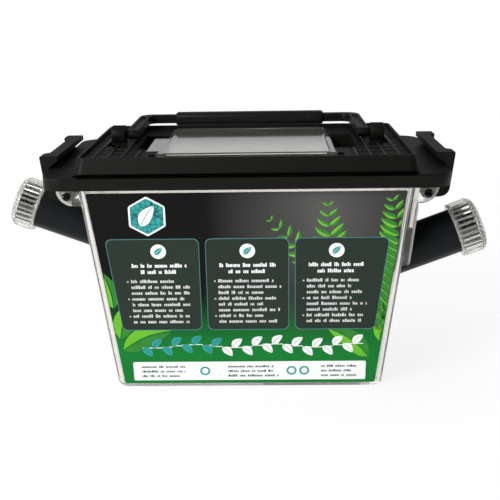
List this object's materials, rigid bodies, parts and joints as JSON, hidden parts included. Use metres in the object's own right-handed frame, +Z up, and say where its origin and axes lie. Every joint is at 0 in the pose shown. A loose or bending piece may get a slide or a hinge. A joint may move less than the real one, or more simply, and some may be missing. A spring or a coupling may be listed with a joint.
{
  "type": "cricket keeper box",
  "caption": "Clear tapered box for live feeder insects: clipped black lid with window and handle, and slanted hiding tubes that slide out of the ends.",
  "frame": {"origin": "centre of the tank's flat base", "axes": "+X right (along the box, the front tube's side), +Y back, +Z up; the label faces -Y"},
  "size_m": [0.2362, 0.1095, 0.1205],
  "materials": {
    "clear_plastic": "clear, polished",
    "black_plastic": "fine matt",
    "grip_plastic": "smooth satin",
    "tube_plastic": "smooth satin",
    "printed_label": "printed film, satin",
    "dish_plastic": "satin"
  },
  "bodies": {
    "box": {"tank": "clear_plastic", "lid": "black_plastic", "vent_panel_right": "black_plastic", "vent_panel_left": "black_plastic", "front_label": "printed_label", "feeding_dish": "dish_plastic", "drinking_guard": "dish_plastic"},
    "clip_right": {"side_clip_right": "black_plastic"},
    "clip_left": {"side_clip_left": "black_plastic"},
    "handle": {"handle_bail": "black_plastic", "handle_grip": "grip_plastic"},
    "door": {"window_door": "clear_plastic"},
    "tube_right": {"tube_right": "tube_plastic"},
    "tube_left": {"tube_left": "tube_plastic"},
    "cap_right": {"tube_cap_right": "clear_plastic"},
    "cap_left": {"tube_cap_left": "clear_plastic"}
  },
  "joints": [
    {"name": "clip_right_swing", "type": "hinge", "parent": "box", "child": "clip_right", "pos_m": [0.0823, 0, 0.0932], "axis": [0, 1, 0], "range_deg": [0, 50]},
    {"name": "clip_left_swing", "type": "hinge", "parent": "box", "child": "clip_left", "pos_m": [-0.0823, 0, 0.0932], "axis": [0, -1, 0], "range_deg": [0, 50]},
    {"name": "handle_swing", "type": "hinge", "parent": "box", "child": "handle", "pos_m": [0, 0, 0.116], "axis": [1, 0, 0], "range_deg": [0, 180]},
    {"name": "door_swing", "type": "hinge", "parent": "box", "child": "door", "pos_m": [0, -0.0359, 0.11155], "axis": [1, 0, 0], "range_deg": [0, 100]},
    {"name": "tube_right_slide", "type": "slide", "parent": "box", "child": "tube_right", "axis": [0.9367, 0, 0.3502], "range_m": [-0.012, 0.126]},
    {"name": "tube_left_slide", "type": "slide", "parent": "box", "child": "tube_left", "axis": [-0.9367, 0, 0.3502], "range_m": [-0.0229, 0.115]},
    {"name": "cap_right_turn", "type": "hinge", "parent": "tube_right", "child": "cap_right", "pos_m": [0.0702, -0.02, 0.0614], "axis": [0.9367, 0, 0.3502], "range_deg": [0, 360]},
    {"name": "cap_left_turn", "type": "hinge", "parent": "tube_left", "child": "cap_left", "pos_m": [-0.0702, 0.02, 0.0614], "axis": [-0.9367, 0, 0.3502], "range_deg": [0, 360]}
  ]
}
